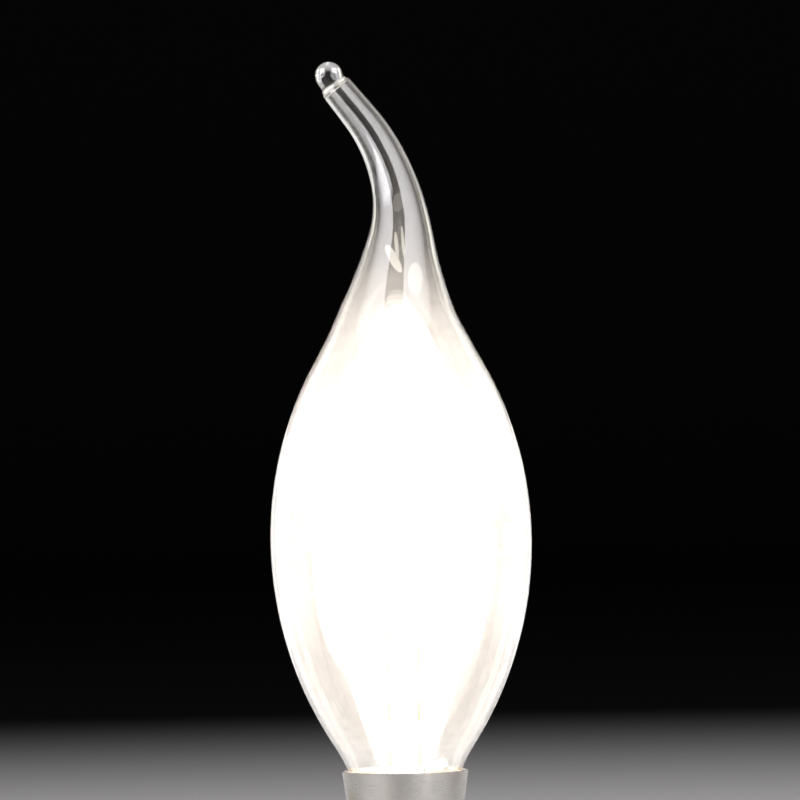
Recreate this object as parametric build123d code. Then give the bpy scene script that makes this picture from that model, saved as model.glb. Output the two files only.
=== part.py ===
from build123d import *
import os
from math import acos, asin, atan, ceil, cos, degrees, exp, floor, hypot, radians, sin, tan

# Candle bulb with a drawn, bent glass tip on a small screw cap, in millimetres.
# The origin is the middle of the centre contact's face, +Z runs up the axis and the tip bends to -X.

# Screw cap
cap_height = 25.0
thread_radius = 6.945
thread_pitch = 2.822
thread_depth = 0.8
thread_land = 0.5
thread_runout = 0.5
thread_steps = 8
shell_wall = 0.25
shell_bottom = 4.6
shell_bottom_radius = 5.4
shell_taper = 2.0
shell_fold = 0.8
skirt_step = 1.6
skirt_below_lead = 0.2
cement_thickness = 0.57
cement_below_rim = 0.5

# Centre contact and the insulator round it
contact_radius = 2.4
contact_thickness = 0.5
solder_height = 0.7
solder_radius = 1.9
solder_face_radius = 1.1
insulator_depth = 3.6
insulator_land = 0.6
eyelet_hole_radius = 0.5

# Glass envelope
belly_radius = 17.5
belly_rise = 30.8
neck_arc = 14.9
upper_belly_arc = 49.0
shoulder_radius = 11.02
shoulder_arc = 66.0
neck_radius = 6.7
neck_depth = 5.2
glass_wall = 0.5

# Drawn tail, along its own middle line
bend_above_shoulder = 3.35
lean_back = 3.6
lean_arc = 60.0
lean_run = 8.4
tail_bend = 41.8
tail_arc = 25.2
tip_run = 5.4
tail_root_radius = 4.95
tail_tip_radius = 1.85
tail_step = 3.0
tail_overlap = 6.0
tip_wall = 0.9
collar_round = 0.3
bead_radius = 1.86
bead_neck_radius = 1.74
bead_height = 3.1
bead_lean = 28.0
bead_root = 0.6

# Glass stem
flare_edge = 1.0
flare_arc = 8.0
stem_tube_radius = 3.4
stem_wall = 0.9
stem_height = 25.0
pinch_width = 9.0
pinch_thickness = 2.8
pinch_height = 6.5
pinch_shoulder = 4.0
pinch_round = 0.6
exhaust_radius = 1.4
exhaust_wall = 0.5
exhaust_above_insulator = 2.2
exhaust_port_radius = 0.5
arbor_radius = 1.0
arbor_height = 9.0
button_radius = 1.7

# Lead wires and filament
lead_offset = 2.0
seal_wire_radius = 0.2
seal_wire_tail = 2.5
inner_lead_radius = 0.25
inner_lead_root = 1.5
inner_lead_rise = 2.0
outer_lead_radius = 0.15
outer_lead_bend = 0.8
lead_below_flare = 0.4
rim_lead_angle = 50.0
rim_lead_end = 0.5
rim_lead_bend = 0.3
rim_solder_radius = 1.25
filament_rise = 15.8
filament_span = 15.0
filament_arch = 1.6
filament_bow = 3.6
filament_radius = 0.35
lead_hook = 0.8
lead_post = 2.4
lead_bend = 1.2
support_radius = 0.1
support_spread = 3.6
support_root = 0.8
support_clearance = 0.05

# Heights that follow from the sizes above
seal_height = cap_height - neck_depth
flare_bottom = seal_height - flare_edge
rim_lead_turn = flare_bottom - lead_below_flare
skirt_base = rim_lead_turn - skirt_below_lead
thread_top = skirt_base - skirt_step
thread_bottom = shell_bottom + shell_taper
thread_low = thread_bottom + thread_land
thread_rings = floor((thread_top - thread_land - thread_low) / thread_pitch * thread_steps)
thread_high = thread_low + thread_rings / thread_steps * thread_pitch
insulator_top = shell_bottom + insulator_depth
exhaust_tip = insulator_top + exhaust_above_insulator
belly_height = cap_height + belly_rise
pinch_top = seal_height + stem_height
pinch_base = pinch_top - pinch_height
pinch_start = pinch_base - pinch_shoulder
button_middle = pinch_top + arbor_height
light_centre = pinch_top + filament_rise
bore_radius = stem_tube_radius - stem_wall
flare_reach = stem_tube_radius + flare_arc
flare_turn = acos((flare_reach - neck_radius + glass_wall) / flare_arc)
flare_middle = (flare_reach, seal_height + flare_arc * sin(flare_turn))

# Middles of the arcs of the glass outline, as radius and height
neck_turn = 2 * atan((belly_radius - neck_radius) / (belly_height - seal_height))
lower_belly_arc = (belly_height - seal_height) / sin(neck_turn) - neck_arc
neck_middle = (neck_radius + neck_arc, seal_height)
lower_middle = (belly_radius - lower_belly_arc, belly_height)
upper_middle = (belly_radius - upper_belly_arc, belly_height)
shoulder_turn = acos((shoulder_radius - upper_middle[0]) / upper_belly_arc)
shoulder_reach = upper_belly_arc + shoulder_arc
shoulder_middle = (
    upper_middle[0] + shoulder_reach * cos(shoulder_turn),
    upper_middle[1] + shoulder_reach * sin(shoulder_turn),
)
shoulder_start = belly_height + upper_belly_arc * sin(shoulder_turn)
bend_height = shoulder_start + bend_above_shoulder


def turned(*edges):
    """A solid of revolution about Z from edges drawn as radius and height."""
    return revolve(Plane.XZ * make_face(Curve() + list(edges)), Axis.Z)


def wire_along(path, radius):
    """A round wire along a path."""
    return sweep(Plane(path @ 0, z_dir=path % 0) * Circle(radius), path)


def neck_at(height):
    """The glass neck's outer radius at a height between its seal and the lower belly."""
    angle = asin((height - seal_height) / neck_arc)
    return neck_middle[0] - neck_arc * cos(angle)


def shoulder_at(height):
    """The outer radius of the shoulder, where the body narrows towards the tail."""
    angle = asin((shoulder_middle[1] - height) / shoulder_arc)
    return shoulder_middle[0] - shoulder_arc * cos(angle)


# The shoulder passes into the tail at this angle and height, and drawn glass then thins exponentially
root_angle = asin(
    (1 - ((shoulder_middle[0] - tail_root_radius) / shoulder_arc) ** 2) ** 0.5
)
root_height = shoulder_middle[1] - shoulder_arc * sin(root_angle)
tail_fall = (tail_root_radius - tail_tip_radius) / tan(root_angle)


def tail_radius(along):
    """The tail's outer radius at a length along its middle line from the bend's height."""
    height = bend_height + along
    if height < root_height:
        return shoulder_at(height)
    thinning = exp((root_height - height) / tail_fall)
    return tail_tip_radius + (tail_root_radius - tail_tip_radius) * thinning


def tail_path():
    """The tail's middle line: upright, a slight lean to +X, then the bend to -X and a straight end."""
    start = Line((0, bend_height - tail_overlap), (0, bend_height))
    lean = JernArc(start @ 1, start % 1, lean_arc, -lean_back)
    run = Line(lean @ 1, lean @ 1 + lean % 1 * lean_run)
    bend = JernArc(run @ 1, run % 1, tail_arc, tail_bend)
    end = Line(bend @ 1, bend @ 1 + bend % 1 * tip_run)
    return Plane.XZ * Wire([start, lean, run, bend, end])


middle_line = tail_path()
tail_length = middle_line.length - tail_overlap
bead_axis = Vector(-sin(radians(bead_lean)), 0, cos(radians(bead_lean)))


def tail_ring(place, inset):
    """The tail's section at a length along its middle line, square to it."""
    mode = PositionMode.LENGTH
    point = middle_line.position_at(place + tail_overlap, mode)
    along = middle_line.tangent_at(place + tail_overlap, mode)
    return Plane(point, x_dir=(0, 1, 0), z_dir=along) * Circle(tail_radius(place) - inset)


def tail_form(inset, rings_to, last):
    """The tail inset by a wall, from the bend's height through even rings to a last ring."""
    steps = ceil(rings_to / tail_step)
    places = [-tail_overlap, -tail_overlap / 2]
    places += [rings_to * k / steps for k in range(steps + 1)]
    sections = [tail_ring(place, inset) for place in places] + [last]
    return split(loft(sections), Plane.XY.offset(bend_height), Keep.TOP)


def body_form(inset):
    """The blown body inset by a wall, from the sealing edge up to the tail's bend."""
    neck = neck_arc + inset
    lower = lower_belly_arc - inset
    upper = upper_belly_arc - inset
    shoulder = shoulder_arc + inset
    first = degrees(neck_turn)
    turn = degrees(shoulder_turn)
    last = degrees(asin((shoulder_middle[1] - bend_height) / shoulder))
    edges = [
        CenterArc(neck_middle, neck, 180, -first),
        CenterArc(lower_middle, lower, -first, first),
        CenterArc(upper_middle, upper, 0, turn),
        CenterArc(shoulder_middle, shoulder, 180 + turn, last - turn),
    ]
    bottom = Line((0, seal_height), edges[0] @ 0)
    top = Line(edges[-1] @ 1, (0, bend_height))
    return turned(bottom, *edges, top, Line(top @ 1, bottom @ 0))


def bead():
    """The solid bead that seals the tip, a little more upright than the tail's end."""
    belly = bead_height - bead_radius
    root = Line((0, -bead_root), (bead_neck_radius, -bead_root))
    side = Line(root @ 1, (bead_neck_radius, 0))
    swell = TangentArc((bead_radius, belly), side @ 1, tangent=(0, -1))
    dome = CenterArc((0, belly), bead_radius, 0, 90)
    shape = turned(root, side, swell, dome, Line(dome @ 1, root @ 0))
    return Plane(middle_line @ 1, x_dir=(0, 1, 0), z_dir=bead_axis) * shape


def glass_outside():
    """The envelope's outer form, filled, with the tail melted off square to the bead."""
    end = Plane(middle_line @ 1, x_dir=(0, 1, 0), z_dir=bead_axis) * Circle(tail_radius(tail_length))
    tail = tail_form(0, tail_length - tail_step / 2, end)
    tip = tail.edges().sort_by_distance(middle_line @ 1)[0]
    return body_form(0) + fillet(tip, collar_round) + bead()


def glass_envelope(outside):
    """Blown glass open at the neck, with a hollow tail and a solid tip."""
    hollow = tail_length - tip_wall
    end = tail_ring(hollow, glass_wall)
    return outside - body_form(glass_wall) - tail_form(glass_wall, hollow - tail_step / 2, end)


def stem_outside():
    """Flare, tube and pinch of the stem, filled."""
    flare = CenterArc(flare_middle, flare_arc, 180 + degrees(flare_turn), -degrees(flare_turn))
    tube = Line(flare @ 1, (stem_tube_radius, pinch_start))
    top = Line(tube @ 1, (0, pinch_start))
    bottom = Line((0, flare_bottom), (neck_radius, flare_bottom))
    edge = Line(bottom @ 1, (neck_radius, seal_height))
    seat = Line(edge @ 1, flare @ 0)
    foot = turned(bottom, edge, seat, flare, tube, top, Line(top @ 1, bottom @ 0))
    slot = SlotOverall(pinch_width, pinch_thickness)
    shoulder = loft([Pos(Z=pinch_start) * Circle(stem_tube_radius), Pos(Z=pinch_base) * slot])
    pinch = extrude(Pos(Z=pinch_base) * slot, pinch_height)
    rim = pinch.edges().group_by(Axis.Z)[-1]
    return foot + shoulder + fillet(rim, pinch_round)


def stem_bore():
    """The flare's mouth and the tube's bore, which the pinch closes."""
    reach = flare_arc + stem_wall
    turn = degrees(asin((flare_middle[1] - flare_bottom) / reach))
    flare = CenterArc(flare_middle, reach, 180 + turn, -turn)
    bottom = Line((0, flare_bottom), flare @ 0)
    tube = Line(flare @ 1, (bore_radius, pinch_start))
    roof = Line(tube @ 1, (0, pinch_base))
    return turned(bottom, flare, tube, roof, Line(roof @ 1, bottom @ 0))


def exhaust_form(radius, tip):
    """A tube with a round end, as melting off leaves it."""
    end = CenterArc((0, tip + radius), radius, -90, 90)
    side = Line(end @ 1, (radius, pinch_base))
    lid = Line(side @ 1, (0, pinch_base))
    return turned(end, side, lid, Line(lid @ 1, end @ 0))


def glass_stem(wires):
    """The fused stem with its exhaust tube, arbor and button, closed round the wires in it."""
    shell = stem_outside() - stem_bore()
    shell += exhaust_form(exhaust_radius, exhaust_tip)
    inner = exhaust_radius - exhaust_wall
    shell -= exhaust_form(inner, exhaust_tip + exhaust_wall)
    port = Plane(Vector(0, 0, pinch_base - inner), z_dir=(0, -1, 0)) * Circle(exhaust_port_radius)
    shell -= extrude(port, stem_tube_radius + pinch_width)
    shell += Pos(Z=pinch_top - pinch_round) * Cylinder(
        arbor_radius, arbor_height, align=(Align.CENTER, Align.CENTER, Align.MIN)
    )
    shell += Pos(Z=button_middle) * Sphere(button_radius)
    for wire in wires:
        shell -= wire
    return shell


def seal_wire(side):
    """The wire that the pinch seals, on one side."""
    low = pinch_start - seal_wire_tail
    high = pinch_top - inner_lead_root
    path = Line((side * lead_offset, 0, low), (side * lead_offset, 0, high))
    return wire_along(path, seal_wire_radius)


def inner_lead(side):
    """The wire from the pinch up to the filament, hooked inwards at its end."""
    post = filament_span / 2 + lead_hook
    points = [
        (side * lead_offset, 0, pinch_top - inner_lead_root),
        (side * lead_offset, 0, pinch_top + inner_lead_rise),
        (side * post, 0, light_centre - lead_post),
        (side * post, 0, light_centre),
        (side * filament_span / 2, 0, light_centre),
    ]
    radii = [lead_bend, lead_bend, lead_hook / 2]
    return wire_along(FilletPolyline(*points, radius=radii), inner_lead_radius)


def filament_points():
    """The filament's ends and the places where its supports hold it."""
    half = filament_span / 2
    top = light_centre + filament_arch
    return [
        Vector(-half, 0, light_centre),
        Vector(-support_spread, -filament_bow / 2, top),
        Vector(0, -filament_bow, light_centre),
        Vector(support_spread, -filament_bow / 2, top),
        Vector(half, 0, light_centre),
    ]


def filament_form(radius):
    """A rod along the filament's line."""
    return wire_along(FilletPolyline(*filament_points(), radius=lead_bend), radius)


def filament_support(held, coil_space):
    """A fine wire from the button out to the filament that it holds up."""
    middle = Vector(0, 0, button_middle)
    root = middle + (held - middle).normalized() * (button_radius - support_root)
    return wire_along(Line(root, held), support_radius) - coil_space


def outer_lead_contact():
    """The wire from the pinch down past the exhaust tip and through the insulator to the contact."""
    points = [
        (-lead_offset, 0, pinch_start - seal_wire_tail),
        (-lead_offset, 0, exhaust_tip),
        (0, 0, insulator_top),
        (0, 0, solder_height / 2),
    ]
    return wire_along(FilletPolyline(*points, radius=outer_lead_bend), outer_lead_radius)


def outer_lead_shell():
    """The wire from the pinch round the neck's edge and up through the cement to the skirt's rim."""
    out = Vector(cos(radians(rim_lead_angle)), sin(radians(rim_lead_angle)), 0)
    gap = cement_thickness / 2
    inside = Vector(lead_offset, 0, rim_lead_turn)
    foot = out * (neck_radius + gap) + Vector(0, 0, rim_lead_turn)
    high = cap_height + rim_lead_end
    rim = out * (neck_at(high) + gap) + Vector(0, 0, high)
    over = out * (neck_at(cap_height) + cement_thickness + shell_wall) + Vector(0, 0, high)
    points = [Vector(lead_offset, 0, pinch_start - seal_wire_tail), inside, foot, rim, over]
    radii = [outer_lead_bend, outer_lead_bend, rim_lead_bend]
    return wire_along(FilletPolyline(*points, radius=radii), outer_lead_radius)


def shell_line():
    """The inner side of the cap's sheet metal, as radius and height."""
    plain = thread_radius - shell_wall
    points = [
        (shell_bottom_radius, shell_bottom),
        (plain, thread_bottom),
        (plain, thread_top),
        (neck_radius + cement_thickness, skirt_base),
        (neck_at(cap_height) + cement_thickness, cap_height),
    ]
    return FilletPolyline(*points, radius=shell_fold)


def layer(low, high):
    """A flat layer of room between two heights, wider than the bulb."""
    block = Box(4 * belly_radius, 4 * belly_radius, high - low)
    return Pos(Z=(low + high) / 2) * block


def thread_form(inset):
    """The round thread inset by the sheet: level circles whose middle winds up round the axis."""
    rings = []
    for k in range(thread_rings + 1):
        runout = min(1, min(k, thread_rings - k) / thread_steps / thread_runout)
        aside = thread_depth / 2 * runout
        turn = k / thread_steps
        place = Rot(Z=360 * turn) * Pos(X=aside, Z=thread_low + turn * thread_pitch)
        rings.append(place * Circle(thread_radius - inset - aside))
    return loft(rings)


def cap_shell(line):
    """Thin sheet metal drawn to a cup without a floor, with the thread rolled into it."""
    sheet = revolve(Plane.XZ * make_face(offset(line, shell_wall, side=Side.RIGHT)), Axis.Z)
    return sheet - layer(thread_low, thread_high) + (thread_form(0) - thread_form(shell_wall))


def shell_inside(line):
    """The room inside the cap's shell."""
    bottom = Line((0, shell_bottom), line @ 0)
    top = Line(line @ 1, (0, cap_height))
    room = turned(bottom, *line.edges(), top, Line(top @ 1, bottom @ 0))
    return room - layer(thread_low, thread_high) + thread_form(shell_wall)


def cap_insulator(room):
    """Black glass pressed into the shell's lower end, tapered down to the contact."""
    cone = turned(
        Line((0, solder_height), (contact_radius + insulator_land, solder_height)),
        Line((contact_radius + insulator_land, solder_height), (shell_bottom_radius, shell_bottom)),
        Line((shell_bottom_radius, shell_bottom), (0, shell_bottom)),
        Line((0, shell_bottom), (0, solder_height)),
    )
    fill = room & layer(shell_bottom, insulator_top)
    hole = Pos(Z=solder_height) * Cylinder(
        eyelet_hole_radius, cap_height, align=(Align.CENTER, Align.CENTER, Align.MIN)
    )
    seat = Pos(Z=solder_height + contact_thickness / 2) * Cylinder(contact_radius, contact_thickness)
    return cone + fill - hole - seat


def contact_plate():
    """The brass eyelet, let into the insulator."""
    plate = Cylinder(contact_radius, contact_thickness) - Cylinder(eyelet_hole_radius, contact_thickness)
    return Pos(Z=solder_height + contact_thickness / 2) * plate


def contact_solder(wire):
    """A low drop of solder with a flat face, closed round the wire's end."""
    spread = solder_radius**2 - solder_face_radius**2
    middle = (spread + solder_height**2) / (2 * solder_height)
    flat = Line((0, 0), (solder_face_radius, 0))
    first = degrees(atan(middle / solder_face_radius))
    last = degrees(atan((middle - solder_height) / solder_radius))
    side = CenterArc((0, middle), hypot(middle, solder_face_radius), -first, first - last)
    top = Line(side @ 1, (0, solder_height))
    return turned(flat, side, top, Line(top @ 1, flat @ 0)) - wire


def rim_solder(others):
    """A drop of solder over the skirt's rim and the wire's end."""
    out = Vector(cos(radians(rim_lead_angle)), sin(radians(rim_lead_angle)), 0)
    place = out * (neck_at(cap_height) + cement_thickness + shell_wall)
    drop = Pos(place + Vector(0, 0, cap_height)) * Sphere(rim_solder_radius)
    for other in others:
        drop -= other
    return drop


def basing_cement(room, glass, wire):
    """The ring of cement that holds the glass neck in the skirt."""
    high = cap_height - cement_below_rim
    return (room & layer(seal_height, high)) - glass - wire


outside = glass_outside()
line = shell_line()
room = shell_inside(line)
coil_space = filament_form(filament_radius + support_clearance)
held = filament_points()
parts = {
    "glass_envelope": glass_envelope(outside),
    "seal_wire_left": seal_wire(-1),
    "seal_wire_right": seal_wire(1),
    "inner_lead_left": inner_lead(-1),
    "inner_lead_right": inner_lead(1),
    "outer_lead_contact": outer_lead_contact(),
    "outer_lead_shell": outer_lead_shell(),
    "filament_support_left": filament_support(held[1], coil_space),
    "filament_support_middle": filament_support(held[2], coil_space),
    "filament_support_right": filament_support(held[3], coil_space),
    "cap_shell": cap_shell(line),
    "cap_insulator": cap_insulator(room),
    "contact_plate": contact_plate(),
}
parts["filament"] = filament_form(filament_radius) - parts["inner_lead_left"] - parts["inner_lead_right"]
in_glass = [n for n in parts if n.startswith(("seal_wire", "inner_lead", "filament_support"))]
parts["glass_stem"] = glass_stem([parts[n] for n in in_glass])
parts["basing_cement"] = basing_cement(room, outside, parts["outer_lead_shell"])
parts["contact_solder"] = contact_solder(parts["outer_lead_contact"])
parts["rim_solder"] = rim_solder(
    [parts["cap_shell"], outside, parts["basing_cement"], parts["outer_lead_shell"]]
)

os.makedirs("parts", exist_ok=True)
for name, shape in parts.items():
    export_step(shape, f"parts/{name}.step")
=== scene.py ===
from math import acos, atan, cos, exp, pi, radians, sin, sqrt, tan

import bpy
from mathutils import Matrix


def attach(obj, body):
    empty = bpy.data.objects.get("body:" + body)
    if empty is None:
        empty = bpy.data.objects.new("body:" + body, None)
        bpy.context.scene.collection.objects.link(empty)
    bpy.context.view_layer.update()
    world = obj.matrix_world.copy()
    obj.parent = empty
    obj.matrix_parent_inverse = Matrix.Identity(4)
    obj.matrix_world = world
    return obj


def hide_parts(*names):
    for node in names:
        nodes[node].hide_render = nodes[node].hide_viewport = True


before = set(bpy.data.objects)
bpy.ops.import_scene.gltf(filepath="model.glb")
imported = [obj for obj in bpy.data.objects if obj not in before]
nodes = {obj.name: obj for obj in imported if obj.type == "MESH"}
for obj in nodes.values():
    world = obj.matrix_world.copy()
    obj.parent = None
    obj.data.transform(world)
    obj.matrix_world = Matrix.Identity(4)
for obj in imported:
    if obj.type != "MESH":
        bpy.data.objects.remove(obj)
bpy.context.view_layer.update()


# The stem: a flared tube of soft glass with its top pinched flat round the wires, a thin exhaust tube that
# was melted off below, and a rod with a button above. It is fused by flame from drawn tube and rod, and
# keeps faint lines along its length and a slightly uneven skin.
class Shade:
    """A socket of a material. Sums written on it become Math nodes, and node() makes any other node."""

    def __init__(self, tree, socket=None):
        self.tree = tree
        self.socket = socket

    def node(self, kind, settings, sockets, output=0):
        made = self.tree.nodes.new(kind)
        for name, value in settings.items():
            if name == "stops":
                while len(made.color_ramp.elements) < len(value):
                    made.color_ramp.elements.new(0.5)
                for stop, (place, colour) in zip(made.color_ramp.elements, value):
                    stop.position = place
                    stop.color = colour
            else:
                setattr(made, name, value)
        for name, value in sockets.items():
            if isinstance(value, Shade):
                self.tree.links.new(value.socket, made.inputs[name])
            else:
                made.inputs[name].default_value = value
        return Shade(self.tree, made.outputs[output] if made.outputs else None)

    def __add__(self, other):
        return self.node("ShaderNodeMath", {"operation": "ADD"}, {0: self, 1: other})

    def __mul__(self, other):
        return self.node("ShaderNodeMath", {"operation": "MULTIPLY"}, {0: self, 1: other})

    __radd__ = __add__
    __rmul__ = __mul__


def new_finish(name):
    """An empty material, and a Shade to write its nodes with."""
    material = bpy.data.materials.new(name)
    material.use_nodes = True
    material.node_tree.nodes.clear()
    return material, Shade(material.node_tree)


def close_finish(shade, shader):
    """Joins the last shader to the material's output."""
    shade.node("ShaderNodeOutputMaterial", {}, {"Surface": shader})


def surface(shade, sockets):
    """The shader of a surface, with its values and links."""
    return shade.node("ShaderNodeBsdfPrincipled", {}, sockets)


def noise(shade, scale, detail=3.0, stretch=(1.0, 1.0, 1.0)):
    """Noise on the piece's own coordinates, as a number about 0.5. Scale is in features to the metre."""
    place = shade.node("ShaderNodeTexCoord", {}, {}, output="Object")
    place = shade.node("ShaderNodeMapping", {}, {"Vector": place, "Scale": stretch})
    return shade.node("ShaderNodeTexNoise", {}, {"Vector": place, "Scale": scale, "Detail": detail})


def between(shade, value, low, high):
    """A mask that goes from 0 to 1 as the value goes from low to high."""
    return shade.node("ShaderNodeMapRange", {}, {"Value": value, "From Min": low, "From Max": high})


def relief(shade, height, strength, depth):
    """Fine relief for a surface's normal, with its depth in metres."""
    return shade.node("ShaderNodeBump", {}, {"Strength": strength, "Distance": depth, "Height": height})


def clear_glass(name, colour, lines, waves, haze):
    """Clear glass with faint drawn lines, waves and dust. Lamps shine through it without a shadow."""
    material, shade = new_finish(name)
    drawn = noise(shade, 900.0, detail=2.0, stretch=(1.0, 1.0, 0.03))
    wavy = noise(shade, 160.0, detail=2.0)
    dust = between(shade, noise(shade, 2600.0, detail=2.0), low=0.7, high=0.85)
    glass = surface(shade, {
        "Base Color": colour,
        "Roughness": dust * 0.12,
        "IOR": 1.51,
        "Transmission Weight": 1 - haze,
        "Normal": relief(shade, drawn * lines + wavy * waves, strength=0.12, depth=0.0001),
    })
    through = shade.node("ShaderNodeBsdfTransparent", {}, {})
    to_lamp = shade.node("ShaderNodeLightPath", {}, {}, output="Is Shadow Ray")
    close_finish(shade, shade.node("ShaderNodeMixShader", {}, {0: to_lamp, 1: glass, 2: through}))
    return material


def give(node, material):
    """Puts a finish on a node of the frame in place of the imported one."""
    nodes[node].data.materials.clear()
    nodes[node].data.materials.append(material)


STEM_TINT = (0.96, 0.98, 0.965, 1.0)
give("glass_stem", clear_glass("stem_glass", STEM_TINT, lines=0.7, waves=0.5, haze=0.02))


# The lead wires: each is three wires butt-welded end to end, nickel inside the bulb, copper-clad iron with a
# red borated skin where the glass grips it, and bare copper below. All are drawn through dies, so they
# carry fine lines along their length, and the heat of sealing has left darker bands.
def two_tone(shade, mask, colour, other):
    """A colour that goes over to another where the mask is 1."""
    return shade.node("ShaderNodeMix", {"data_type": "RGBA"}, {0: mask, 6: colour, 7: other}, output=2)


def drawn_wire(name, colour, dark, rough):
    """Bright drawn wire with heat-darkened patches."""
    material, shade = new_finish(name)
    darker = between(shade, noise(shade, 700.0, detail=4.0), low=0.45, high=0.75)
    die_lines = noise(shade, 9000.0, detail=2.0, stretch=(1.0, 1.0, 0.05))
    close_finish(shade, surface(shade, {
        "Base Color": two_tone(shade, darker, colour, dark),
        "Metallic": 1.0,
        "Roughness": rough + darker * 0.2,
        "Normal": relief(shade, die_lines, strength=0.25, depth=0.00002),
    }))
    return material


nickel = drawn_wire("nickel_wire", (0.62, 0.59, 0.54, 1.0), dark=(0.33, 0.30, 0.28, 1.0), rough=0.26)
clad = drawn_wire("copper_clad_wire", (0.55, 0.17, 0.09, 1.0), dark=(0.30, 0.07, 0.04, 1.0), rough=0.38)
copper = drawn_wire("copper_wire", (0.78, 0.42, 0.26, 1.0), dark=(0.45, 0.21, 0.13, 1.0), rough=0.28)
for side in ("left", "right"):
    give(f"seal_wire_{side}", clad)
    give(f"inner_lead_{side}", nickel)
give("outer_lead_contact", copper)
give("outer_lead_shell", copper)


# The filament: one long tungsten wire wound into a close coil, clamped in the hooks of the inner leads and
# held up in an arch by the supports. It glows white hot. Its sizes are in millimetres.
MM = 0.001
LIGHT = 60.6
ARCH = 1.6
COIL_RADIUS = 0.28
WIRE_RADIUS = 0.07
WIRE_SIDES = 8
TURNS = 62
STEPS_A_TURN = 18
ARCH_TO_CHORDS = 0.93
coil_line = [
    (-7.5, 0.0, LIGHT), (-3.6, -1.8, LIGHT + ARCH), (0.0, -3.6, LIGHT),
    (3.6, -1.8, LIGHT + ARCH), (7.5, 0.0, LIGHT),
]
coil_length = ARCH_TO_CHORDS * sum(
    sqrt(sum((b - a) ** 2 for a, b in zip(p, q))) for p, q in zip(coil_line, coil_line[1:])
)
bpy.ops.object.select_all(action="DESELECT")
bpy.ops.curve.primitive_nurbs_path_add()
coil_path = bpy.context.object
coil_path.data.splines.clear()
spline = coil_path.data.splines.new("NURBS")
spline.points.add(len(coil_line) - 1)
for point, place in zip(spline.points, coil_line):
    point.co = (place[0] * MM, place[1] * MM, place[2] * MM, 1.0)
spline.order_u = 3
spline.use_endpoint_u = True
bpy.ops.object.select_all(action="DESELECT")
bpy.ops.mesh.primitive_circle_add(
    vertices=WIRE_SIDES, radius=WIRE_RADIUS * MM,
    location=(0, COIL_RADIUS * MM, 0), rotation=(pi / 2, 0, pi / 2),
)
filament_coil = bpy.context.object
filament_coil.name = "filament_coil"
bpy.ops.object.transform_apply(location=True, rotation=True, scale=True)
wind = filament_coil.modifiers.new("wind", "SCREW")
wind.axis = "X"
wind.steps = wind.render_steps = STEPS_A_TURN
wind.iterations = TURNS
wind.screw_offset = coil_length / TURNS * MM
wind.use_merge_vertices = False
bpy.ops.object.modifier_apply(modifier="wind")
drape = filament_coil.modifiers.new("drape", "CURVE")
drape.object = coil_path
drape.deform_axis = "POS_X"
bpy.ops.object.modifier_apply(modifier="drape")
bpy.data.objects.remove(coil_path)
bpy.ops.object.mode_set(mode="EDIT")
bpy.ops.mesh.select_all(action="SELECT")
bpy.ops.mesh.fill_holes(sides=WIRE_SIDES)
bpy.ops.mesh.normals_make_consistent(inside=False)
bpy.ops.object.mode_set(mode="OBJECT")
bpy.ops.object.shade_smooth()
hot, shade = new_finish("white_hot_tungsten")
heat = shade.node(
    "ShaderNodeValToRGB",
    {"stops": [(0.3, (1.0, 0.72, 0.40, 1.0)), (0.7, (1.0, 0.84, 0.58, 1.0))]},
    {"Fac": noise(shade, 4000.0, detail=2.0)},
)
close_finish(shade, surface(shade, {
    "Base Color": heat,
    "Metallic": 1.0,
    "Roughness": 0.4,
    "Emission Color": heat,
    "Emission Strength": 60.0,
}))
filament_coil.data.materials.append(hot)
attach(filament_coil, "root")
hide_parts("filament")


# The supports: fine drawn wires of molybdenum, which stays stiff at white heat. Their lower ends were stuck
# in the stem's button while it was soft, and each free end is bent round the coil to hold it up.
moly = drawn_wire("molybdenum_wire", (0.42, 0.42, 0.43, 1.0), dark=(0.20, 0.20, 0.21, 1.0), rough=0.4)
for side in ("left", "middle", "right"):
    give(f"filament_support_{side}", moly)


# The envelope: a blown bulb of clear soda glass. Its top was heated, drawn out to a tail, bent to one side
# and melted off, which left a solid bead on a small collar. The wall is thin all over and the tail is hollow.
WALL = 0.5
SEAL_HEIGHT = 19.8
NECK = 6.7
NECK_ARC = 14.9
BELLY = 17.5
BELLY_HEIGHT = 55.8
UPPER_ARC = 49.0
SHOULDER = 11.02
SHOULDER_ARC = 66.0
ROOT_RADIUS = 4.95
TIP_RADIUS = 1.85
BEND_ABOVE_SHOULDER = 3.35
neck_turn = 2 * atan((BELLY - NECK) / (BELLY_HEIGHT - SEAL_HEIGHT))
neck_top = SEAL_HEIGHT + NECK_ARC * sin(neck_turn)
lower_arc = (BELLY_HEIGHT - SEAL_HEIGHT) / sin(neck_turn) - NECK_ARC
shoulder_turn = acos((SHOULDER - BELLY + UPPER_ARC) / UPPER_ARC)
shoulder_start = BELLY_HEIGHT + UPPER_ARC * sin(shoulder_turn)
shoulder_x = BELLY - UPPER_ARC + (UPPER_ARC + SHOULDER_ARC) * cos(shoulder_turn)
shoulder_z = BELLY_HEIGHT + (UPPER_ARC + SHOULDER_ARC) * sin(shoulder_turn)
root_angle = acos((shoulder_x - ROOT_RADIUS) / SHOULDER_ARC)
root_height = shoulder_z - SHOULDER_ARC * sin(root_angle)
tail_fall = (ROOT_RADIUS - TIP_RADIUS) / tan(root_angle)
bend_height = shoulder_start + BEND_ABOVE_SHOULDER
# The tail's line from the bend on: an arc's radius and turn, or a straight run's length and no turn.
tail_turns = [(60.0, radians(-3.6)), (8.4, None), (25.2, radians(41.8)), (5.4, None)]
tail_end = bend_height + sum(size * abs(turn) if turn else size for size, turn in tail_turns)


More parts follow.
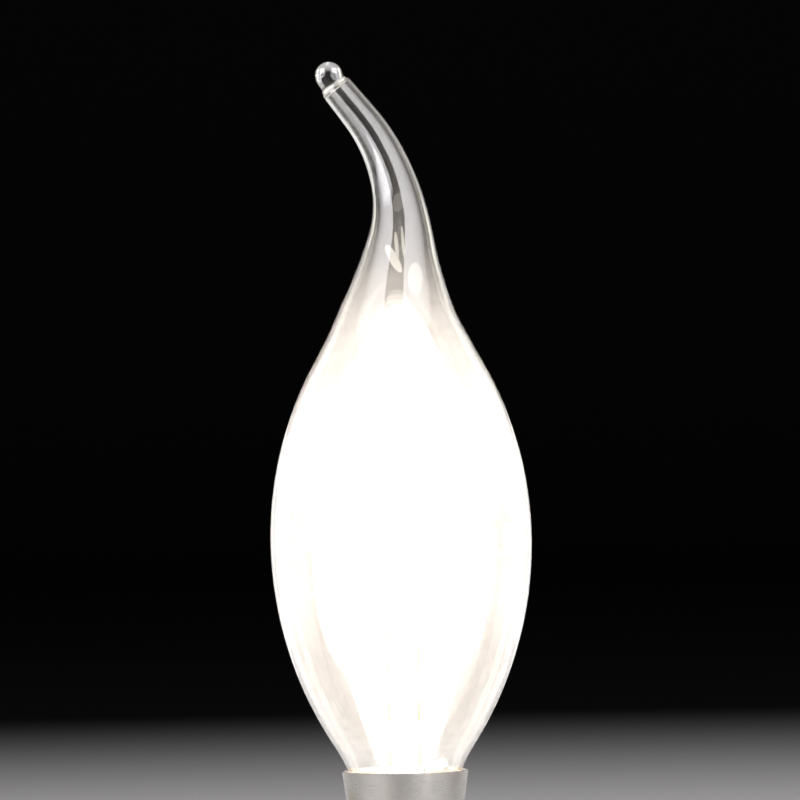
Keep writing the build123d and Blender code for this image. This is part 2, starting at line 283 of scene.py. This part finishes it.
def glass_radius(along):
    """The glass's outer radius, at a height or at a length along the bent tail."""
    if along < neck_top:
        return NECK + NECK_ARC - sqrt(NECK_ARC**2 - (along - SEAL_HEIGHT) ** 2)
    if along < BELLY_HEIGHT:
        return BELLY - lower_arc + sqrt(lower_arc**2 - (BELLY_HEIGHT - along) ** 2)
    if along < shoulder_start:
        return BELLY - UPPER_ARC + sqrt(UPPER_ARC**2 - (along - BELLY_HEIGHT) ** 2)
    if along < root_height:
        return shoulder_x - sqrt(SHOULDER_ARC**2 - (shoulder_z - along) ** 2)
    return TIP_RADIUS + (ROOT_RADIUS - TIP_RADIUS) * exp((root_height - along) / tail_fall)


def glass_middle(along):
    """Where the middle of the glass lies, as x, height and lean, at a length along it."""
    x, z, lean = 0.0, min(along, bend_height), 0.0
    left = along - z
    for size, turn in tail_turns:
        length = size * abs(turn) if turn else size
        step = min(max(left, 0.0), length)
        if turn:
            way = 1 if turn > 0 else -1
            bent = step / size * way
            x += size * (cos(lean + bent) - cos(lean)) * way
            z += size * (sin(lean + bent) - sin(lean)) * way
            lean += bent
        else:
            x -= step * sin(lean)
            z += step * cos(lean)
        left -= length
    return x, z, lean


BODY_STEP = 1.1
TAIL_STEP = 0.6


def wall_rings(first, last, inset):
    """Rings of one side of the wall, closer together in the tail, where the wall thins with the radius."""
    rings = []
    along = first
    while True:
        radius = glass_radius(along)
        rings.append((*glass_middle(along), radius - inset * min(1.0, radius / ROOT_RADIUS)))
        if along == last:
            return rings
        along = min(last, along + (BODY_STEP if along < bend_height else TAIL_STEP))


def draw_on(ring, rings):
    """Draws the selected ring on through a row of rings, each an x, a height, a lean and a radius."""
    for x, z, lean, radius in rings:
        bpy.ops.mesh.extrude_region_move(
            TRANSFORM_OT_translate={"value": ((x - ring[0]) * MM, 0, (z - ring[1]) * MM)}
        )
        middle = (x * MM, 0, z * MM)
        size = radius / ring[3]
        bpy.ops.transform.resize(value=(size, size, size), center_override=middle)
        if abs(lean - ring[2]) > 1e-6:
            bpy.ops.transform.rotate(value=lean - ring[2], orient_axis="Y", center_override=middle)
        ring = (x, z, lean, radius)
    return ring


FIRST_RING = 0.5
COLLAR_LENGTH = 0.7
COLLAR_ROUND = 0.3
COLLAR_RADIUS = 1.9
COLLAR_LEAN = radians(33)
COLLAR_STEPS = 5
BEAD = 1.86
BEAD_RISE = 1.22
BEAD_LEAN = radians(28)
BEAD_STEPS = 12
bead_neck = ((0.05, 1.74), (0.3, 1.76), (0.6, 1.79), (0.9, 1.83), (BEAD_RISE, BEAD))
end_x, end_z = glass_middle(tail_end)[:2]


def above_end(rise, lean, radius):
    """A ring at a height over the middle of the tail's end, along the bead."""
    return (end_x - rise * sin(BEAD_LEAN), end_z + rise * cos(BEAD_LEAN), lean, radius)


tip = []
for step in range(COLLAR_STEPS + 1):
    angle = step / COLLAR_STEPS * pi / 2
    radius = COLLAR_RADIUS + COLLAR_ROUND * (cos(angle) - 1)
    tip.append(above_end(COLLAR_ROUND * (sin(angle) - 1), COLLAR_LEAN, radius))
for rise, radius in bead_neck:
    tip.append(above_end(rise, COLLAR_LEAN + (BEAD_LEAN - COLLAR_LEAN) * rise / BEAD_RISE, radius))
for step in range(1, BEAD_STEPS):
    angle = step / BEAD_STEPS * pi / 2
    tip.append(above_end(BEAD_RISE + BEAD * sin(angle), BEAD_LEAN, BEAD * cos(angle)))
top_x, top_z = above_end(BEAD_RISE + BEAD, BEAD_LEAN, 0.0)[:2]
bpy.ops.object.select_all(action="DESELECT")
bpy.ops.mesh.primitive_circle_add(vertices=96, radius=NECK * MM, location=(0, 0, SEAL_HEIGHT * MM))
glass_bulb = bpy.context.object
glass_bulb.name = "glass_bulb"
bpy.ops.object.mode_set(mode="EDIT")
bpy.ops.mesh.select_mode(type="EDGE")
seal = (0, SEAL_HEIGHT, 0, NECK)
edge = draw_on(seal, wall_rings(SEAL_HEIGHT + FIRST_RING, tail_end - COLLAR_LENGTH, 0))
edge = draw_on(edge, tip)
bpy.ops.mesh.extrude_region_move(
    TRANSFORM_OT_translate={"value": ((top_x - edge[0]) * MM, 0, (top_z - edge[1]) * MM)}
)
bpy.ops.mesh.merge(type="CENTER")
bpy.ops.mesh.select_all(action="DESELECT")
bpy.ops.mesh.select_non_manifold(extend=False)
CLOSED_END = 0.55
END_ROUND = 0.3
cavity_end = tail_end - CLOSED_END
edge = draw_on(seal, wall_rings(SEAL_HEIGHT, cavity_end - END_ROUND, WALL))
draw_on(edge, [
    (*glass_middle(cavity_end - END_ROUND + END_ROUND * sin(angle)), edge[3] * cos(angle))
    for angle in (0.4, 0.8, 1.2)
])
bpy.ops.mesh.extrude_region_move(TRANSFORM_OT_translate={"value": (0, 0, 0)})
bpy.ops.mesh.merge(type="CENTER")
bpy.ops.mesh.select_all(action="SELECT")
bpy.ops.mesh.remove_doubles(threshold=1e-7)
bpy.ops.mesh.normals_make_consistent(inside=False)
bpy.ops.object.mode_set(mode="OBJECT")
bpy.ops.object.transform_apply(location=True, rotation=True, scale=True)
bpy.ops.object.shade_smooth()
BULB_TINT = (0.985, 0.99, 0.985, 1.0)
glass_bulb.data.materials.append(clear_glass("blown_glass", BULB_TINT, lines=0.4, waves=0.5, haze=0.002))
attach(glass_bulb, "root")
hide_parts("glass_envelope")


# The cap's shell: thin brass sheet drawn to a cup, with the round thread rolled into it and a plain skirt
# flared to take the glass neck, then nickel plated.
plate, shade = new_finish("nickel_plate")
rolled = noise(shade, 5200.0, stretch=(0.02, 0.02, 1.0))
tarnish = between(shade, noise(shade, 260.0, detail=4.0), low=0.5, high=0.75)
close_finish(shade, surface(shade, {
    "Base Color": two_tone(shade, tarnish, (0.72, 0.70, 0.66, 1.0), (0.56, 0.52, 0.46, 1.0)),
    "Metallic": 1.0,
    "Roughness": 0.24 + tarnish * 0.14 + rolled * 0.08,
    "Normal": relief(shade, rolled, strength=0.2, depth=0.00003),
}))
give("cap_shell", plate)


# The insulator: opaque black glass poured and pressed hot into the shell's lower end, glossy, with a faint
# orange-peel skin from the die.
black, shade = new_finish("pressed_black_glass")
peel = noise(shade, 1400.0)
flow = noise(shade, 260.0)
close_finish(shade, surface(shade, {
    "Base Color": two_tone(shade, flow, (0.010, 0.010, 0.012, 1.0), (0.030, 0.028, 0.034, 1.0)),
    "Roughness": 0.08 + flow * 0.1,
    "IOR": 1.52,
    "Normal": relief(shade, peel, strength=0.3, depth=0.00005),
}))
give("cap_insulator", black)


# The centre contact: a stamped brass eyelet let into the black glass, with a drop of tin solder over the
# wire's end. A second drop joins the other wire to the skirt's rim. Solder sets with a dull, frosted skin.
brass = drawn_wire("stamped_brass", (0.72, 0.50, 0.22, 1.0), dark=(0.48, 0.31, 0.12, 1.0), rough=0.3)
give("contact_plate", brass)
solder, shade = new_finish("tin_solder")
frost = noise(shade, 3600.0, detail=4.0)
pools = noise(shade, 900.0)
close_finish(shade, surface(shade, {
    "Base Color": two_tone(shade, pools, (0.66, 0.66, 0.65, 1.0), (0.42, 0.42, 0.42, 1.0)),
    "Metallic": 1.0,
    "Roughness": 0.3 + frost * 0.2,
    "Normal": relief(shade, frost + pools * 2.0, strength=0.45, depth=0.00006),
}))
give("contact_solder", solder)
give("rim_solder", solder)


# The cement: powdered stone in resin, pressed as a paste into the gap between the skirt and the glass neck
# and baked hard, which fixes the cap to the bulb. It is tan, matte and grainy.
cement, shade = new_finish("baked_cement")
grains = noise(shade, 5200.0, detail=4.0)
stain = noise(shade, 500.0)
close_finish(shade, surface(shade, {
    "Base Color": two_tone(shade, grains, (0.42, 0.33, 0.21, 1.0), (0.80, 0.71, 0.56, 1.0)),
    "Roughness": 0.8 + stain * 0.15,
    "Normal": relief(shade, grains, strength=0.7, depth=0.0001),
}))
give("basing_cement", cement)


# The lamp's own light: lamps inside the bulb for its glass alone, whose faint haze turns them to a white glow,
# and four large ones for the wires, which the glare washes out. Soft balls of light along the axis are the
# bright core that is seen through the glass, and flat glints in the tail are the filament's reflections.
GLOW = (1.0, 0.89, 0.80)
GLINT = (1.0, 0.93, 0.82)


def ball_light(name, x, height, radius, level, y=0.0):
    """A round light whose face has that brightness, out of the camera's direct sight."""
    data = bpy.data.lights.new(name, "POINT")
    data.color = GLOW
    data.shadow_soft_size = radius * MM
    data.energy = level * 4 * (pi * radius * MM) ** 2
    light = bpy.data.objects.new(name, data)
    light.location = (x * MM, y * MM, height * MM)
    light.visible_camera = False
    bpy.context.scene.collection.objects.link(light)
    return light


glass_alone = bpy.data.collections.new("lit_by_filament")
glass_alone.objects.link(glass_bulb)
glass_alone.objects.link(nodes["glass_stem"])
wires_alone = bpy.data.collections.new("wires_lit_by_filament")
for side in ("left", "right"):
    wires_alone.objects.link(nodes[f"seal_wire_{side}"])
    wires_alone.objects.link(nodes[f"inner_lead_{side}"])
for side in ("left", "middle", "right"):
    wires_alone.objects.link(nodes[f"filament_support_{side}"])
WIRE_LAMPS = 4
WIRE_LAMP_AWAY = 45.0
WIRE_LAMP_HEIGHT = LIGHT - 8.0
WIRE_LAMP_RADIUS = 35.0
WIRE_LAMP_LEVEL = 100.0
for step in range(WIRE_LAMPS):
    around = (step + 0.5) * 2 * pi / WIRE_LAMPS
    x, y = WIRE_LAMP_AWAY * cos(around), WIRE_LAMP_AWAY * sin(around)
    lamp = ball_light(f"wire_lamp_{step}", x, WIRE_LAMP_HEIGHT, WIRE_LAMP_RADIUS, WIRE_LAMP_LEVEL, y)
    lamp.light_linking.receiver_collection = wires_alone
END_LAMP_BELOW = 0.6
end_lamp_x, end_lamp_z = glass_middle(cavity_end - END_LAMP_BELOW)[:2]
# The name, x, height, radius and level of each lamp for the glass.
for name, x, height, radius, level in (
    ("lamp", 0.0, LIGHT, 2.0, 33000.0),
    ("lower_lamp", 0.0, 37.0, 2.0, 4000.0),
    ("upper_lamp", 0.0, 81.0, 2.0, 1800.0),
    ("tip_lamp", end_lamp_x, end_lamp_z, 0.3, 400.0),
):
    lamp = ball_light(name, x, height, radius, level)
    lamp.light_linking.receiver_collection = glass_alone
    lamp.visible_transmission = lamp.visible_glossy = False
# The name, number, first height, spacing, radius at a height, and level of each row of balls in the core.
for name, count, first, spacing, radius_at, level in (
    ("lower_core", 12, 26.5, 1.5, lambda height: 0.4 * height - 6.3, 0.3),
    ("middle_core", 13, 46.0, 2.0, lambda height: glass_radius(height) - 0.4, 0.22),
    ("upper_core", 14, 88.0, -1.5, lambda height: 0.66 * (90.0 - height), 0.17),
):
    for step in range(count):
        height = first + spacing * step
        ball_light(f"{name}_{step}", 0.0, height, radius_at(height), level)


WHITE = (1.0, 1.0, 1.0)


def soft_light(name, place, turn, wide, tall, level, colour=WHITE, shape="RECTANGLE", half_spread=pi / 2):
    """A flat soft light whose face has that brightness, out of the camera's sight. A grid narrows it."""
    data = bpy.data.lights.new(name, "AREA")
    data.color = colour
    data.shape = shape
    data.size = wide
    data.size_y = tall
    data.spread = 2 * half_spread
    data.energy = level * wide * tall * pi * (pi / 4 if shape == "ELLIPSE" else 1)
    data.energy *= 1 - half_spread / tan(half_spread)
    light = bpy.data.objects.new(name, data)
    light.location = place
    light.rotation_euler = turn
    light.visible_camera = False
    bpy.context.scene.collection.objects.link(light)


COLLAR_GLINT_RISE = -0.35
# Each glint's x, height, width, length, lean in degrees and level. The last lies in the collar.
glints = [
    (0.06, 95.1, 0.5, 3.9, -3.8, 0.9),
    (0.91, 95.7, 0.4, 4.2, -3.5, 0.9),
    (-0.36, 93.4, 1.2, 4.1, -27.7, 1.1),
    (2.5, 90.8, 2.0, 4.2, 0.0, 0.5),
    (0.4, 101.0, 1.5, 2.6, 8.0, 0.2),
    (*above_end(COLLAR_GLINT_RISE, 0, 0)[:2], 3.6, 0.85, -33.0, 0.6),
]
GLINT_HEART = 0.6
for number, (x, height, wide, tall, lean, level) in enumerate(glints):
    for facing in (-1, 1):
        for part in (1.0, GLINT_HEART):
            soft_light(
                f"glint_{number}", (x * MM, 0, height * MM), (facing * pi / 2, radians(lean), 0),
                wide * part * MM, tall * part * MM, level / 2, GLINT, "ELLIPSE",
            )


# The studio: a painted floor that runs up a round cove, pale under the bulb and darkened with distance by
# painted shade, which stands for the light falling off away from the bulb. Two gridded panels beside the bulb
# draw the stripes in its tail, and strips, fills and low lights behind it draw its edges. A dim panel hangs
# above. Sizes are in metres.
FLOOR_RADIUS = 2.2
COVE = 0.8
COVE_STEPS = 12
WALL_RISE = 1.2
bpy.ops.object.select_all(action="DESELECT")
bpy.ops.mesh.primitive_circle_add(vertices=96, radius=FLOOR_RADIUS, fill_type="NGON", location=(0, 0, 0))
floor = bpy.context.object
floor.name = "floor"
bpy.ops.object.mode_set(mode="EDIT")
bpy.ops.mesh.select_all(action="SELECT")
for step in range(COVE_STEPS):
    before, after = (k / COVE_STEPS * pi / 2 for k in (step, step + 1))
    rise = COVE * (cos(before) - cos(after))
    bpy.ops.mesh.extrude_region_move(TRANSFORM_OT_translate={"value": (0, 0, rise)})
    size = (FLOOR_RADIUS + COVE * sin(after)) / (FLOOR_RADIUS + COVE * sin(before))
    bpy.ops.transform.resize(value=(size, size, 1), center_override=(0, 0, 0))
bpy.ops.mesh.extrude_region_move(TRANSFORM_OT_translate={"value": (0, 0, WALL_RISE)})
bpy.ops.mesh.delete(type="ONLY_FACE")
bpy.ops.object.mode_set(mode="OBJECT")
bpy.ops.object.shade_smooth()
# Painted shade: the floor's colour goes from pale under the bulb to near black far off, in place of the light
# falling off away from it.
PALE = (0.44, 0.44, 0.436, 1.0)
PAINTED_SHADE_DARK = (0.004, 0.004, 0.0041, 1.0)
FADE_START = 0.2
FADE_END = 0.8
sweep_paint_and_shade, shade = new_finish("sweep_paint_and_painted_shade")
place = shade.node("ShaderNodeTexCoord", {}, {}, output="Object")
far = shade.node("ShaderNodeVectorMath", {"operation": "LENGTH"}, {0: place}, output="Value")
# The mask of the painted shade: 0 near the bulb, 1 far from it.
dim = shade.node(
    "ShaderNodeMapRange",
    {"interpolation_type": "SMOOTHSTEP"},
    {"Value": far, "From Min": FADE_START, "From Max": FADE_END},
)
close_finish(shade, surface(shade, {
    "Base Color": two_tone(shade, dim, PALE, PAINTED_SHADE_DARK),
    "Roughness": 0.9,
    "Specular IOR Level": 0.0,
}))
floor.data.materials.append(sweep_paint_and_shade)
PANEL_AWAY = 0.6
PANEL_FADE = 2.0
PANEL_HEIGHT = 0.455
PANEL_TALL = 0.9
PANEL_LEVEL = 7.5
PANEL_COLOUR = (1.0, 0.97, 1.0)
STRIP_COLOUR = (1.0, 0.95, 0.84)
# Each back light's name, place to the side, behind and up, turn, width, height, level and colour.
back_lights = (
    ("low_strip", 0.184, 0.184, 0.0775, 0.785, 0.063, 0.145, 1.5, STRIP_COLOUR),
    ("high_strip", 0.184, 0.184, 0.225, 0.785, 0.063, 0.15, 0.7, STRIP_COLOUR),
    ("fill", 0.13, 0.224, 0.1525, 0.524, 0.073, 0.295, 0.4, WHITE),
    ("edge", 0.09, 0.254, 0.048, 0.34, 0.076, 0.09, 0.7, WHITE),
)
# Each side's sign and name, the bearing that its panel faces and the bearing at which the panel starts.
for side, hand, bearing, start in (
    (-1, "left", radians(38), radians(33)),
    (1, "right", radians(30), radians(16)),
):
    first = PANEL_AWAY * tan(start - bearing)
    last = PANEL_AWAY * PANEL_FADE
    middle = (first + last) / 2
    x = side * (PANEL_AWAY * sin(bearing) + middle * cos(bearing))
    y = middle * sin(bearing) - PANEL_AWAY * cos(bearing)
    soft_light(
        f"{hand}_panel", (x, y, PANEL_HEIGHT), (pi / 2, 0, side * bearing),
        last - first, PANEL_TALL, PANEL_LEVEL, PANEL_COLOUR, half_spread=atan(PANEL_FADE),
    )
    for name, out, behind, height, turn, wide, tall, level, colour in back_lights:
        soft_light(
            f"{hand}_{name}", (side * out, behind, height), (pi / 2, 0, pi - side * turn),
            wide, tall, level, colour,
        )
soft_light("top_panel", (0, 0, 1.2), (0, 0, 0), wide=0.8, tall=0.8, level=0.4)
world = bpy.data.worlds.new("room")
world.use_nodes = True
room = world.node_tree.nodes["Background"]
room.inputs["Color"].default_value = (0.9, 0.95, 1.0, 1.0)
room.inputs["Strength"].default_value = 0.045
bpy.context.scene.world = world


# The camera: level with the glass and a metre away, with a long lens that takes in the glass from the tip down
# to the cap's rim. It is turned by a degree, as the photograph was.
SENSOR = 36.0
HALF_FIELD = 0.05355
eye = bpy.data.cameras.new("camera")
eye.sensor_width = SENSOR
eye.lens = SENSOR / 2 / HALF_FIELD
camera = bpy.data.objects.new("camera", eye)
camera.location = (0.00017, -1.0, 0.07457)
camera.rotation_euler = (pi / 2, radians(0.99), 0)
bpy.context.scene.collection.objects.link(camera)
bpy.context.scene.camera = camera
bpy.context.scene.view_settings.view_transform = "Standard"
